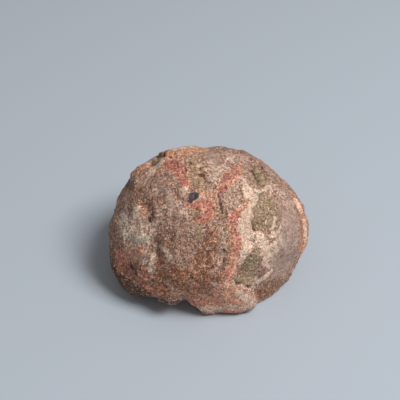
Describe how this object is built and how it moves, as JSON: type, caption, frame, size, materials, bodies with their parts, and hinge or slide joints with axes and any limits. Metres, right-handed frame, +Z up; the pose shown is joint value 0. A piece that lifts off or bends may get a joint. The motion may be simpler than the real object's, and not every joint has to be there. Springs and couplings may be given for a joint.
{
  "type": "opal nodule",
  "caption": "Rough rounded stone nodule, a lumpy dome of grainy mauve-brown rock with red, cream and olive patches, resting on a nearly flat broken underside.",
  "frame": {"origin": "bottom centre of the bounding box, on the surface the stone rests on", "axes": "+Z up from the flat underside, -Y towards the side seen in the picture, +X to its right"},
  "size_m": [0.0712, 0.0618, 0.0469],
  "materials": {
    "rock": "rough, sandy-grained and dull"
  },
  "bodies": {
    "root": {"stone": "rock"}
  },
  "joints": []
}
